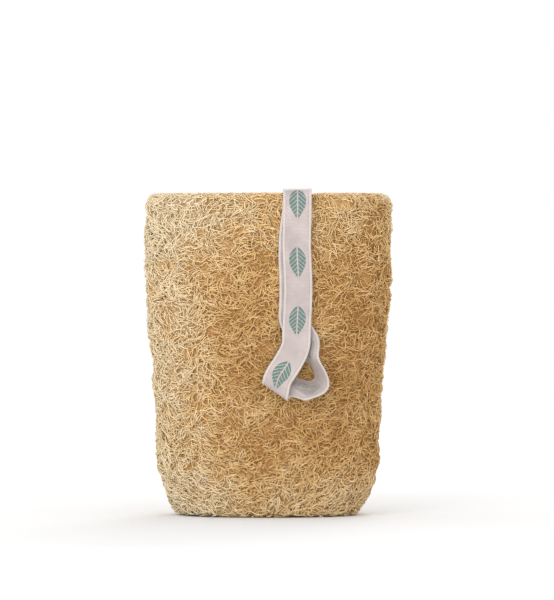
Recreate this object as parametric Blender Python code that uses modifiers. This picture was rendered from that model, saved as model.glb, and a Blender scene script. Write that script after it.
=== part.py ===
# A cut length of dried loofah gourd with a folded hanging tape. Metres, +Z up.
# It stands on its lower cut end, and the origin is under the core of that end.

import math
import random

import bmesh
import bpy
import numpy as np
from mathutils import Vector

# Body: an oval column that narrows towards its foot
HEIGHT = 0.160
UPPER_HALF_WIDTH = 0.061
LOWER_HALF_WIDTH = 0.0555
DEPTH_TO_WIDTH = 0.63
SECTION_POWER = 2.3
TAPER_SPAN = (0.040, 0.130)
FOOT_INSET = 0.011
FOOT_HEIGHT = 0.034
RIM_INSET = 0.0035
RIM_HEIGHT = 0.006

# Raised net over the whole surface
NET_CELLS_PER_QUARTER = 6
NET_ROWS = 17
NET_JITTER = 0.17
NET_WAVE = 0.0035
STRAND_DIP = 0.0005
STRAND_SLOPE = 0.0014
PIT_DEPTHS = (0.0015, 0.0020, 0.0026)
MERGED_CELL_SHARE = 0.10
FOOT_STRAND_WIDTH = 0.0012
FOOT_FLAT_RADIUS = 0.008

# Seed chambers, right through the body: centre x, centre y, half-width, half-depth
CHAMBERS = {
    "tape_chamber": (0.0170, -0.0075, 0.0135, 0.0115),
    "side_chamber": (-0.0250, -0.0060, 0.0140, 0.0115),
    "back_chamber": (-0.0010, 0.0180, 0.0145, 0.0095),
}
CHAMBER_SIDES = 12
CHAMBER_ROWS = 7
CHAMBER_POWER = 2.5
CHAMBER_WAVE = 0.10
CHAMBER_OVERRUN = 0.004

# Hanging tape: one woven strip, folded to a loop, its ends side by side in the tape chamber
TAPE_WIDTH = 0.014
TAPE_THICKNESS = 0.0008
TAPE_X = 0.0145
SEAT_GAP = 0.0003
UNDER_LIFT = SEAT_GAP + TAPE_THICKNESS / 2
OVER_LIFT = UNDER_LIFT + TAPE_THICKNESS + 0.0004
LOOP_STEPS = 4
SHARP_TURN = math.radians(20)
TAPE_END_DEPTH = 0.027
TAPE_BEND = 0.0022
MOUTH_CLEARANCE = 0.0006
LOOP_TOP = 0.100
TAPE_SETTLE = 0.030

# Loop end, from the over limb round to the under limb: the strip's middle as x, lift off the
# body and z, then which way its width points, in degrees down from +X and out to the front.
LOOP_STATIONS = (
    (0.0144, 0.0046, 0.0915, 5, -3),
    (0.0139, 0.0068, 0.0845, 17, 0),
    (0.0099, 0.0084, 0.0770, 31, 3),
    (0.0049, 0.0097, 0.0698, 27, 3),
    (0.0034, 0.0102, 0.0648, 32, 1),
    (0.0031, 0.0083, 0.0622, 35, 0),
    (0.0054, 0.0060, 0.0648, 38, 4),
    (0.0098, 0.0056, 0.0656, 47, 20),
    (0.0142, 0.0064, 0.0650, 56, 34),
    (0.0184, 0.0070, 0.0639, 63, 46),
    (0.0222, 0.0072, 0.0640, 66, 56),
    (0.0263, 0.0070, 0.0670, 38, 58),
    (0.0252, 0.0073, 0.0728, -10, 66),
    (0.0218, 0.0073, 0.0794, -26, 66),
    (0.0193, 0.0030, 0.0862, -28, 10),
    (0.0152, 0.0012, 0.0930, -18, -8),
)
UNDER_SHIFT = -0.0022
MOST_SLANT = 0.75

# Thread that sews both tape ends to the chamber's wall
THREAD_RADIUS = 0.0004
THREAD_TURNS = 5
THREAD_ROW_WIDTH = 0.011
THREAD_ROW_HEIGHT = 0.005

FIBRE_COLOUR = (0.50, 0.30, 0.12)
TAPE_COLOUR = (0.68, 0.60, 0.58)
THREAD_COLOUR = (0.75, 0.72, 0.68)


def clear_scene():
    for old in list(bpy.data.objects):
        bpy.data.objects.remove(old)


def make_collection(name):
    collection = bpy.data.collections.new(name)
    bpy.context.scene.collection.children.link(collection)
    return collection


def make_material(name, colour, roughness):
    material = bpy.data.materials.new(name)
    material.use_nodes = True
    shader = material.node_tree.nodes["Principled BSDF"]
    shader.inputs["Base Color"].default_value = (*colour, 1)
    shader.inputs["Roughness"].default_value = roughness
    shader.inputs["Metallic"].default_value = 0
    material.diffuse_color = (*colour, 1)
    return material


def add_object(name, mesh, collection, material=None):
    item = bpy.data.objects.new(name, mesh)
    collection.objects.link(item)
    if material:
        mesh.materials.append(material)
    return item


def smooth_step(value):
    value = min(max(value, 0), 1)
    return value * value * (3 - 2 * value)


def half_width(z):
    low, high = TAPER_SPAN
    width = LOWER_HALF_WIDTH
    width += (UPPER_HALF_WIDTH - LOWER_HALF_WIDTH) * smooth_step((z - low) / (high - low))
    width -= FOOT_INSET * max(1 - z / FOOT_HEIGHT, 0) ** 2
    width -= RIM_INSET * max((z - HEIGHT + RIM_HEIGHT) / RIM_HEIGHT, 0) ** 2
    return width


def oval_point(angle, power):
    """A point on a unit oval that is squarer than an ellipse."""
    c, s = math.cos(angle), math.sin(angle)
    return Vector((
        math.copysign(abs(c) ** (2 / power), c),
        math.copysign(abs(s) ** (2 / power), s),
    ))


def even_angles():
    """Angles against the share of the perimeter walked, so that net cells are equally wide."""
    angles = np.linspace(0, 2 * math.pi, 721)
    points = np.array([oval_point(a, SECTION_POWER) for a in angles]) * (1, DEPTH_TO_WIDTH)
    steps = np.linalg.norm(np.diff(points, axis=0), axis=1)
    walked = np.concatenate(([0], np.cumsum(steps)))
    return walked / walked[-1], angles


WALKED, ANGLES = even_angles()


def body_point(turn, z, reach):
    """A point of the body at a share of its perimeter, a height, and a share of its radius."""
    angle = float(np.interp(turn % 1, WALKED, ANGLES))
    outline = oval_point(angle, SECTION_POWER) * half_width(z) * reach
    return Vector((outline.x, outline.y * DEPTH_TO_WIDTH, z))


def front_y(x, z):
    """The front of the body's outline at this width and height."""
    width = half_width(z)
    share = 1 - (abs(x) / width) ** SECTION_POWER
    return -width * DEPTH_TO_WIDTH * share ** (1 / SECTION_POWER)


def square_turn(x, y):
    """How far round a square a point lies, from 0 to 1, starting from the middle of its +X side."""
    if abs(x) >= abs(y):
        share = y / x / 8 + (0 if x > 0 else 0.5)
    else:
        share = 0.25 - x / y / 8 + (0 if y > 0 else 0.5)
    return share % 1


def make_net_cage():
    """A cube whose faces are cut to slanted four-sided cells, some of them merged in pairs."""
    bm = bmesh.new()
    bmesh.ops.create_cube(bm, size=2)
    for axis, cells in ((2, NET_ROWS), (0, NET_CELLS_PER_QUARTER), (1, NET_CELLS_PER_QUARTER)):
        across = [e for e in bm.edges
                  if abs(e.verts[0].co[axis] - e.verts[1].co[axis]) > 1]
        bmesh.ops.subdivide_edges(bm, edges=across, cuts=cells - 1, use_grid_fill=True)
    square_edges = bm.edges[:]
    bmesh.ops.poke(bm, faces=bm.faces[:])
    bmesh.ops.dissolve_edges(bm, edges=square_edges, use_verts=False)
    merge_some_cells(bm)
    return bm


def merge_some_cells(bm):
    rng = random.Random(4)
    used = set()
    doomed = []
    edges = [e for e in bm.edges if all(abs(v.co.z) < 1 for v in e.verts)]
    for edge in rng.sample(edges, int(len(edges) * MERGED_CELL_SHARE)):
        pair = {f.index for f in edge.link_faces}
        if not pair & used:
            used |= pair
            doomed.append(edge)
    bmesh.ops.dissolve_edges(bm, edges=doomed, use_verts=False)


def shape_net_cage(bm):
    """Wrap the cube round the body, with every strand a little out of line."""
    rng = random.Random(11)
    cell_turn = 1 / (4 * NET_CELLS_PER_QUARTER)
    row_height = HEIGHT / NET_ROWS
    for vert in bm.verts:
        x, y, up = vert.co
        reach = max(abs(x), abs(y))
        on_cap = abs(up) > 0.999
        on_rim = on_cap and reach > 0.999
        turn = square_turn(x, y) if reach > 1e-6 else 0
        z = (up + 1) / 2 * HEIGHT
        turn += rng.uniform(-NET_JITTER, NET_JITTER) * cell_turn
        dip = rng.uniform(0, STRAND_DIP)
        if not on_cap:
            fade = min(z, HEIGHT - z) / 0.02
            z += rng.uniform(-NET_JITTER, NET_JITTER) * row_height
            z += NET_WAVE * min(fade, 1) * wave(turn, z)
            reach -= dip / half_width(z)
        vert.co = body_point(turn, z, reach)
        if on_cap and not on_rim:
            slide = NET_JITTER * min(row_height, (1 - reach) * half_width(z) * DEPTH_TO_WIDTH)
            vert.co += Vector((rng.uniform(-slide, slide), rng.uniform(-slide, slide), 0))
        if on_cap and up > 0 and not on_rim:
            vert.co.z -= dip


def wave(turn, z):
    around = 2 * math.pi * turn
    along = z / HEIGHT
    return (0.6 * math.sin(3 * around + 9 * along)
            + 0.4 * math.sin(7 * around - 14 * along + 1.3))


def sink_pits(bm):
    """Sink the floor of each cell, which leaves the strands between the cells as a raised net."""
    rng = random.Random(23)
    foot_cells, rim_cells, cells = [], [], []
    for face in bm.faces:
        low = min(v.co.z for v in face.verts)
        high = max(v.co.z for v in face.verts)
        if high < STRAND_DIP:
            foot_cells.append(face)
        elif (low < STRAND_DIP or high > HEIGHT - STRAND_DIP) and high - low > 2 * STRAND_DIP:
            rim_cells.append(face)
        else:
            cells.append(face)
    rng.shuffle(cells)
    for k, depth in enumerate(PIT_DEPTHS):
        bmesh.ops.inset_individual(
            bm, faces=cells[k::len(PIT_DEPTHS)], thickness=STRAND_SLOPE, depth=-depth)
    bmesh.ops.poke(bm, faces=rim_cells, offset=-PIT_DEPTHS[0] / 2)
    foot_cells = [f for f in foot_cells if f.calc_center_median().xy.length > FOOT_FLAT_RADIUS]
    bmesh.ops.inset_individual(bm, faces=foot_cells, thickness=FOOT_STRAND_WIDTH)
    bmesh.ops.poke(bm, faces=foot_cells, offset=-PIT_DEPTHS[-1])


def make_chamber_cutter(name, seed, collection):
    x, y, half_x, half_y = CHAMBERS[name]
    bm = bmesh.new()
    bmesh.ops.create_cone(bm, cap_ends=True, segments=CHAMBER_SIDES, radius1=1, radius2=1, depth=2)
    upright = [e for e in bm.edges if abs(e.verts[0].co.z - e.verts[1].co.z) > 1]
    bmesh.ops.subdivide_edges(bm, edges=upright, cuts=CHAMBER_ROWS - 1)
    rng = random.Random(seed)
    half_step = math.pi / CHAMBER_SIDES
    for vert in bm.verts:
        corner = round(math.atan2(vert.co.y, vert.co.x) / (2 * half_step))
        outline = oval_point((2 * corner + 1) * half_step, CHAMBER_POWER)
        z = (vert.co.z + 1) / 2 * (HEIGHT + 2 * CHAMBER_OVERRUN) - CHAMBER_OVERRUN
        tape_zone = name == "tape_chamber" and z > HEIGHT - 2 * TAPE_END_DEPTH
        swell = 1 if tape_zone else 1 + rng.uniform(-CHAMBER_WAVE, CHAMBER_WAVE / 2)
        vert.co = (x + outline.x * half_x * swell, y + outline.y * half_y * swell, z)
    mesh = bpy.data.meshes.new(name)
    bm.to_mesh(mesh)
    bm.free()
    cutter = add_object(name, mesh, collection)
    cutter.hide_render = True
    cutter.display_type = "WIRE"
    return cutter


def make_sponge(parts, cutters):
    bm = make_net_cage()
    shape_net_cage(bm)
    bm.normal_update()
    sink_pits(bm)
    bmesh.ops.triangulate(bm, faces=bm.faces[:])
    mesh = bpy.data.meshes.new("loofah_sponge")
    bm.to_mesh(mesh)
    bm.free()
    material = make_material("loofah_fibre", FIBRE_COLOUR, 0.8)
    sponge = add_object("loofah_sponge", mesh, parts, material)
    for seed, name in enumerate(CHAMBERS):
        cut = sponge.modifiers.new(name, "BOOLEAN")
        cut.operation = "DIFFERENCE"
        cut.solver = "EXACT"
        cut.object = make_chamber_cutter(name, seed, cutters)
    return sponge


def chamber_front():
    """The y of the tape chamber's front wall where the tape's two edges touch it."""
    x, y, half_x, half_y = CHAMBERS["tape_chamber"]
    corners = [oval_point((2 * k + 1) * math.pi / CHAMBER_SIDES, CHAMBER_POWER)
               for k in range(CHAMBER_SIDES)]
    front = sorted((x + c.x * half_x, y + c.y * half_y) for c in corners if c.y < 0)
    edges = (TAPE_X - TAPE_WIDTH / 2, TAPE_X + TAPE_WIDTH / 2)
    return max(float(np.interp(e, [p[0] for p in front], [p[1] for p in front])) for e in edges)


def seat_outline(x):
    """The body's section under the tape as y, z corners, from the loop up and into the chamber."""
    heights = np.linspace(LOOP_TOP, HEIGHT - RIM_HEIGHT, 5)
    wall = chamber_front()
    corners = [Vector((front_y(x, z), z)) for z in heights]
    corners.append(Vector((corners[-1].x, HEIGHT)))
    corners.append(Vector((wall + MOUTH_CLEARANCE, HEIGHT + MOUTH_CLEARANCE)))
    corners.append(Vector((wall, HEIGHT - TAPE_END_DEPTH)))
    return corners


def offset_outline(corners, lift):
    """Move an open outline to its left by lift, keeping its corners sharp."""
    along = [(b - a).normalized() for a, b in zip(corners, corners[1:])]
    normals = [Vector((-a.y, a.x)) for a in along]
    normals = [normals[0], *normals, normals[-1]]
    moved = []
    for corner, before, after in zip(corners, normals, normals[1:]):
        middle = (before + after).normalized()
        moved.append(corner + middle * lift / middle.dot(before))
    return moved


def round_corners(corners, radius):
    """An open outline with each sharp corner replaced by a short curve."""
    points = [corners[0]]
    for before, corner, after in zip(corners, corners[1:], corners[2:]):
        back, ahead = before - corner, after - corner
        if math.pi - back.angle(ahead) < SHARP_TURN:
            points.append(corner)
            continue
        start = corner + back.normalized() * min(radius, back.length * 0.45)
        end = corner + ahead.normalized() * min(radius, ahead.length * 0.45)
        for t in np.linspace(0, 1, 5):
            points.append(start * (1 - t) ** 2 + corner * 2 * t * (1 - t) + end * t * t)
    points.append(corners[-1])
    return points


def front_slope(x, z):
    """How fast the front falls back towards +X, so that the tape can lie along it."""
    span = TAPE_WIDTH / 2
    return (front_y(x + span, z) - front_y(x - span, z)) / (2 * span)


def limb_stations(lift, shift):
    """Middle points and width directions of one limb, from the loop up and into the chamber."""
    outline = round_corners(offset_outline(seat_outline(TAPE_X + shift), lift), TAPE_BEND + lift)
    stations = []
    for y, z in outline:
        share = smooth_step((HEIGHT - z) / TAPE_SETTLE) if y < front_y(TAPE_X, HEIGHT) else 0
        x = TAPE_X + shift * share
        width = Vector((1, front_slope(x, LOOP_TOP) * share, 0)).normalized()
        stations.append((Vector((x, y, z)), width))
    return stations


def loop_row(x, lift, z, turn, out):
    """A row of the loop end: its middle, clear of the body at both edges, and its two angles."""
    turn, out = math.radians(turn), math.radians(out)
    reach = TAPE_WIDTH / 2 * abs(math.cos(turn) * math.cos(out))
    body_y = min(front_y(x + side * reach, z) for side in (-1, 0, 1))
    return np.array((x, body_y - lift, z, turn, out))


def spline_through(values, steps):
    """Catmull-Rom points through a list of vectors, with this many steps for each span."""
    ends = [values[0] * 2 - values[1]] + values + [values[-1] * 2 - values[-2]]
    points = []
    for a, b, c, d in zip(ends, ends[1:], ends[2:], ends[3:]):
        for k in range(steps):
            t = k / steps
            points.append((b * 2 + (c - a) * t + (a * 2 - b * 5 + c * 4 - d) * t ** 2
                           + (b * 3 - a - c * 3 + d) * t ** 3) / 2)
    points.append(values[-1])
    return points


def loop_stations(before, after):
    """The loop end between two limbs, given the last two middles of the one and the first of the
    other."""
    lean = math.atan(front_slope(TAPE_X, LOOP_TOP))
    ends = [np.array((*middle, 0, -lean)) for middle in before + after]
    rows = [loop_row(*row) for row in LOOP_STATIONS]
    points = spline_through(ends[:2] + rows + ends[2:], LOOP_STEPS)
    stations = []
    for x, y, z, turn, out in points[LOOP_STEPS + 1:-LOOP_STEPS - 1]:
        flat = math.cos(out)
        width = Vector((math.cos(turn) * flat, -math.sin(out), -math.sin(turn) * flat))
        stations.append((Vector((x, y, z)), width))
    return stations


def tape_stations():
    """The whole strip: over limb, loop end, under limb."""
    over = limb_stations(OVER_LIFT, 0)[::-1]
    under = limb_stations(UNDER_LIFT, UNDER_SHIFT)
    loop = loop_stations([s[0] for s in over[-2:]], [s[0] for s in under[:2]])
    return over + loop + under


def make_tape(parts):
    stations = tape_stations()
    spans = len(stations) - 1
    bm = bmesh.new()
    bmesh.ops.create_grid(bm, x_segments=1, y_segments=spans, size=1)
    for vert in bm.verts:
        k = round((vert.co.y + 1) / 2 * spans)
        middle, width = stations[k]
        along = stations[min(k + 1, spans)][0] - stations[max(k - 1, 0)][0]
        along.normalize()
        slant = min(abs(width.dot(along)), MOST_SLANT)
        reach = TAPE_WIDTH / 2 / math.sqrt(1 - slant ** 2)
        vert.co = middle + width * math.copysign(reach, vert.co.x)
    mesh = bpy.data.meshes.new("hanging_tape")
    bm.to_mesh(mesh)
    bm.free()
    tape = add_object("hanging_tape", mesh, parts, make_material("woven_tape", TAPE_COLOUR, 0.7))
    wall = tape.modifiers.new("thickness", "SOLIDIFY")
    wall.thickness = TAPE_THICKNESS
    wall.offset = 0
    wall.use_even_offset = True


def make_stitching(parts):
    """A zigzag row of thread on the face of the inner tape end."""
    turns = 2 * THREAD_TURNS
    face = chamber_front() + OVER_LIFT + TAPE_THICKNESS / 2 + SEAT_GAP + THREAD_RADIUS
    middle_z = HEIGHT - TAPE_END_DEPTH + THREAD_ROW_HEIGHT
    curve = bpy.data.curves.new("tape_stitching", "CURVE")
    curve.dimensions = "3D"
    curve.bevel_depth = THREAD_RADIUS
    curve.bevel_resolution = 2
    curve.use_fill_caps = True
    spline = curve.splines.new("POLY")
    spline.points.add(turns)
    for k, point in enumerate(spline.points):
        x = TAPE_X + (k / turns - 0.5) * THREAD_ROW_WIDTH
        z = middle_z + THREAD_ROW_HEIGHT / 2 * (-1) ** k
        point.co = (x, face, z, 1)
    material = make_material("sewing_thread", THREAD_COLOUR, 0.6)
    add_object("tape_stitching", curve, parts, material)


clear_scene()
part_collection = make_collection("loofah_sponge_with_tape")
cutter_collection = make_collection("cutters")
make_sponge(part_collection, cutter_collection)
make_tape(part_collection)
make_stitching(part_collection)
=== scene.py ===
# Natural loofah sponge with its hanging tape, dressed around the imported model
import math
import bmesh
import bpy
import numpy as np
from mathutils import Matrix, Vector


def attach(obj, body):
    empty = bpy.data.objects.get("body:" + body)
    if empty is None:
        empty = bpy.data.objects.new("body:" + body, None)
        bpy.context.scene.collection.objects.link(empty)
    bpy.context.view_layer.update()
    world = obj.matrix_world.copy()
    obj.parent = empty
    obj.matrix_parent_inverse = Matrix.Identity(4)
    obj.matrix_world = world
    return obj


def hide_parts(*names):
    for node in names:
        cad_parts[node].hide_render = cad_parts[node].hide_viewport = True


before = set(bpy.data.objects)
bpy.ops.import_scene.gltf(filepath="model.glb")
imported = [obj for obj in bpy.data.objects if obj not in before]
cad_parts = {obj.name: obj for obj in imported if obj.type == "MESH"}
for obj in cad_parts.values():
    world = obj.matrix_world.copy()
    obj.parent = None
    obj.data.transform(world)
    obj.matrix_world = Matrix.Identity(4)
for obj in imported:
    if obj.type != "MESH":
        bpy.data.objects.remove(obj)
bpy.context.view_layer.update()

scene = bpy.context.scene
scene.view_settings.view_transform = "Standard"  # the pale floor stays pale
cmPerMetre = 100
mmPerMetre = 1000


# Small helpers

def putObject(name, data):
    item = bpy.data.objects.new(name, data)
    scene.collection.objects.link(item)
    return item


def putPiece(name, mesh, material, body="root"):
    piece = putObject(name, mesh)
    mesh.materials.append(material)
    if body:
        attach(piece, body)
    return piece


def meshFrom(bm, name):
    mesh = bpy.data.meshes.new(name)
    bm.to_mesh(mesh)
    bm.free()
    return mesh


def meshOf(source, name):
    # the shape of a curve or a mesh with its modifiers, as a new mesh; the source goes
    depsgraph = bpy.context.evaluated_depsgraph_get()
    mesh = bpy.data.meshes.new_from_object(source.evaluated_get(depsgraph))
    mesh.name = name
    data = source.data
    bpy.data.objects.remove(source)
    (bpy.data.curves if isinstance(data, bpy.types.Curve) else bpy.data.meshes).remove(data)
    return mesh


def addLine(curve, points):
    # one spline with straight segments through these points
    spline = curve.splines.new("POLY")
    spline.points.add(len(points) - 1)
    spline.points.foreach_set("co", np.column_stack((points, np.ones(len(points)))).ravel())
    return spline


def meshOfCurve(name, curve):
    carrier = putObject(name, curve)
    bpy.context.view_layer.update()
    return meshOf(carrier, name)


def distanceAlong(points):
    return np.concatenate(([0], np.cumsum(np.linalg.norm(np.diff(points, axis=0), axis=1))))


def resample(track, distance, places):
    return np.column_stack([np.interp(places, distance, column) for column in track.T])


def closeMesh(mesh, weld=1e-7):
    # welds the points and caps of strands, and turns their faces outwards
    bm = bmesh.new()
    bm.from_mesh(mesh)
    bmesh.ops.remove_doubles(bm, verts=bm.verts, dist=weld)
    bmesh.ops.recalc_face_normals(bm, faces=bm.faces)
    for face in bm.faces:
        face.smooth = True
    bm.to_mesh(mesh)
    bm.free()


def smoothStep(value):
    value = np.clip(value, 0, 1)
    return value * value * (3 - 2 * value)


# The sponge's body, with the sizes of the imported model: metres, standing on its cut foot
body = {
    "height": 0.160,
    "upperHalfWidth": 0.061,
    "lowerHalfWidth": 0.0555,
    "depthToWidth": 0.63,
    "sectionPower": 2.3,
    "sectionSteps": 1440,
    "taperSpan": (0.040, 0.130),
    "footInset": 0.011,
    "footHeight": 0.034,
    "rimInset": 0.0035,
    "rimHeight": 0.006,
}

# Seed chambers, right through the body: centre x, centre y, half-width, half-depth
chambers = {
    "tapeChamber": (0.0170, -0.0075, 0.0135, 0.0115),
    "sideChamber": (-0.0250, -0.0060, 0.0140, 0.0115),
    "backChamber": (-0.0010, 0.0180, 0.0145, 0.0095),
}
chamberPower = 2.5


def halfWidth(z):
    low, high = body["taperSpan"]
    width = body["lowerHalfWidth"]
    width = width + (body["upperHalfWidth"] - width) * smoothStep((z - low) / (high - low))
    width = width - body["footInset"] * np.maximum(1 - z / body["footHeight"], 0) ** 2
    top = (z - body["height"] + body["rimHeight"]) / body["rimHeight"]
    return width - body["rimInset"] * np.clip(top, 0, 1) ** 2


def ovalPoint(angle, power):
    c, s = np.cos(angle), np.sin(angle)
    return (np.copysign(np.abs(c) ** (2 / power), c), np.copysign(np.abs(s) ** (2 / power), s))


# angles against the share of the perimeter walked, so that fibres lie evenly all round
angles = np.linspace(0, 2 * math.pi, body["sectionSteps"] + 1)
ovalX, ovalY = ovalPoint(angles, body["sectionPower"])
walked = np.concatenate(([0], np.cumsum(np.hypot(np.diff(ovalX),
                                                 np.diff(ovalY * body["depthToWidth"])))))
perimeterToWidth = walked[-1]
walked /= perimeterToWidth


def skinPoint(turn, z, depth):
    # points at a depth under the body's surface, from a share of its perimeter and a height
    power, flatness = body["sectionPower"], body["depthToWidth"]
    ox, oy = ovalPoint(np.interp(np.mod(turn, 1), walked, angles), power)
    width = halfWidth(z)
    nx = np.copysign(np.abs(ox) ** (power - 1), ox)
    ny = np.copysign(np.abs(oy) ** (power - 1), oy) / flatness
    size = np.hypot(nx, ny)
    return np.stack((ox * width - nx / size * depth,
                     oy * width * flatness - ny / size * depth, z), axis=-1)


def bodyLevel(x, y, z):
    # under 1 inside the body's outline at this height
    width = halfWidth(z)
    power = body["sectionPower"]
    return (np.abs(x) / width) ** power + (np.abs(y) / width / body["depthToWidth"]) ** power


def chamberLevel(x, y):
    # under 1 inside any chamber
    levels = []
    for cx, cy, halfX, halfY in chambers.values():
        levels.append((np.abs(x - cx) / halfX) ** chamberPower
                      + (np.abs(y - cy) / halfY) ** chamberPower)
    return np.min(levels, axis=0)


def frontY(x, z):
    width = halfWidth(z)
    share = 1 - (abs(x) / width) ** body["sectionPower"]
    return -width * body["depthToWidth"] * share ** (1 / body["sectionPower"])


# Random fields over the skin, each with its seed and the size of its bumps
fields = {
    "flow": (5, 0.026),
    "whorl": (8, 0.040),
    "thin": (13, 0.013),
    "lump": (21, 0.020),
    "terms": 14,
    "spread": 0.7,
}


def waveField(seed, size):
    # a smooth field of about -1 to 1, from waves that run round and along the body
    rng = np.random.default_rng(seed)
    terms, spread = fields["terms"], fields["spread"]
    perimeter = perimeterToWidth * body["upperHalfWidth"]
    around = np.round(rng.normal(0, perimeter / size * spread, terms))
    along = rng.normal(0, 2 * math.pi / size * spread, terms)
    phase = rng.uniform(0, 2 * math.pi, terms)

    def field(turn, z):
        total = 0
        for a, b, c in zip(around, along, phase):
            total = total + np.cos(2 * math.pi * a * turn + b * z + c)
        return total / math.sqrt(terms)
    return field


flowField, whorlField = waveField(*fields["flow"]), waveField(*fields["whorl"])
thinField, lumpField = waveField(*fields["thin"]), waveField(*fields["lump"])


# Hanging tape: one woven strip, folded to a loop, its ends side by side in the tape chamber
tape = {
    "width": 0.014,
    "thickness": 0.0008,
    "x": 0.0145,
    "seatGap": 0.0003,
    "underLift": 0.0007,
    "overLift": 0.0019,
    "endDepth": 0.027,
    "bend": 0.0022,
    "mouthClearance": 0.0006,
    "seatRows": 5,
    "arcSteps": 10,
    "cornerReach": 0.45,
    "leastTurn": 20,  # degrees
    "loopTop": 0.100,
    "loopSteps": 12,
    "settle": 0.030,
    "underShift": -0.0022,
    "mostSlant": 0.75,
    "chamberSides": 12,
    "rowLength": 0.0010,
    "columns": 18,
    "ripple": 0.00025,
    "ripplePace": 430,
    "rippleSkew": 1.5,
    "sway": 0.0004,
    "swayPace": 125,
    "hangFront": -0.02,
    "rimGap": 0.001,
    "selvedgeFrom": 0.78,
    "selvedgeFade": 0.08,
    "middleThickness": 0.65,
    "motifSpacing": 0.029,
    "motifHeight": 0.126,
}

# Loop end, from the over limb round to the under limb: the strip's middle as x, lift off the
# body and z, then which way its width points, in degrees down from +X and out to the front
loopStations = (
    (0.0144, 0.0046, 0.0915, 5, -3),
    (0.0139, 0.0068, 0.0845, 17, 0),
    (0.0099, 0.0084, 0.0770, 31, 3),
    (0.0049, 0.0097, 0.0698, 27, 3),
    (0.0034, 0.0102, 0.0648, 32, 1),
    (0.0031, 0.0083, 0.0622, 35, 0),
    (0.0054, 0.0060, 0.0648, 38, 4),
    (0.0098, 0.0056, 0.0656, 47, 20),
    (0.0142, 0.0064, 0.0650, 56, 34),
    (0.0184, 0.0070, 0.0639, 63, 46),
    (0.0222, 0.0072, 0.0640, 66, 56),
    (0.0263, 0.0070, 0.0670, 38, 58),
    (0.0252, 0.0073, 0.0728, -10, 66),
    (0.0218, 0.0073, 0.0794, -26, 66),
    (0.0193, 0.0030, 0.0862, -28, 10),
    (0.0152, 0.0012, 0.0930, -18, -8),
)


# Room for the tape: where the fibres keep under the skin, down the front and at the rim
cover = {
    "halfWidth": 0.0115,
    "shift": 0.0008,
    "fade": 0.003,
    "front": -0.012,
    "foot": 0.050,
    "depth": 0.0005,
    "bendHalfWidth": 0.009,
    "bendFront": -0.014,
    "bendDepth": 0.0006,
}


def underTape(points):
    # 1 where a fibre would touch the tape, 0 well away from it
    x, y, z = points[..., 0], points[..., 1], points[..., 2]
    aside = np.abs(x - tape["x"] + cover["shift"])
    beside = np.clip((cover["halfWidth"] - aside) / cover["fade"], 0, 1)
    front = (y < cover["front"]) & (z > cover["foot"])
    return beside * front


# Fibres, laid in layers of strands that wander over the skin and dive under it, in tufts of
# near-parallel ones. Lengths are in steps, lean and spread of the heading in degrees, loose is
# the share of stray tufts
fibreSets = {
    "fibresDeep": dict(seed=31, segments=8000, step=0.0021, steps=(6, 12), tuft=2,
                       depth=(0.0014, 0.0028), lean=55, spread=30, loose=0.25, curl=0.18,
                       radius=(0.00022, 0.00034), weave=0.0004),
    "fibresMiddle": dict(seed=32, segments=37500, step=0.0015, steps=(4, 9), tuft=2,
                         depth=(0.0004, 0.0017), lean=20, spread=26, loose=0.28, curl=0.24,
                         radius=(0.00018, 0.00028), weave=0.0006),
    "fibresOuterLower": dict(seed=33, segments=39500, step=0.0013, steps=(3, 7), tuft=3,
                             depth=(-0.0003, 0.0007), lean=0, spread=24, loose=0.18, curl=0.26,
                             radius=(0.00015, 0.00024), weave=0.0006),
    "fibresOuterUpper": dict(seed=34, segments=38500, step=0.0013, steps=(3, 8), tuft=3,
                             depth=(-0.0003, 0.0006), lean=0, spread=20, loose=0.16, curl=0.22,
                             radius=(0.00015, 0.00023), weave=0.0006),
    "fibresFine": dict(seed=35, segments=20500, step=0.0013, steps=(4, 9), tuft=2,
                       depth=(-0.0004, 0.0004), lean=0, spread=28, loose=0.30, curl=0.24,
                       radius=(0.00010, 0.00016), weave=0.0005),
}
growth = {
    "overrun": 0.006,
    "spare": 1.4,
    "looseSpread": 60,
    "thinning": 0.30,
    "thinContrast": 1.4,
    "wiggle": 0.26,
    "wigglePace": (0.6, 1.4),
    "tuftLength": 0.0018,
    "tuftWidth": 0.0011,
    "tuftFan": 0.12,
    "flow": 0.55,
    "whorl": 0.8,
    "whorlLevel": 0.7,
    "lump": 0.0007,
    "levelShape": 1.3,
    "weavePace": (0.6, 1.1),
    "endDive": 0.0010,
    "endPower": 4,
    "footGap": 0.0005,
    "rimStand": 0.0004,
    "fewestPoints": 4,
    "sides": 3,
    "girth": 1.2,
}


def firstRun(inside):
    # where the first unbroken stretch of true values starts and stops
    first = int(np.argmax(inside))
    rest = inside[first:]
    return first, first + (len(rest) if rest.all() else int(np.argmin(rest)))


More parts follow.
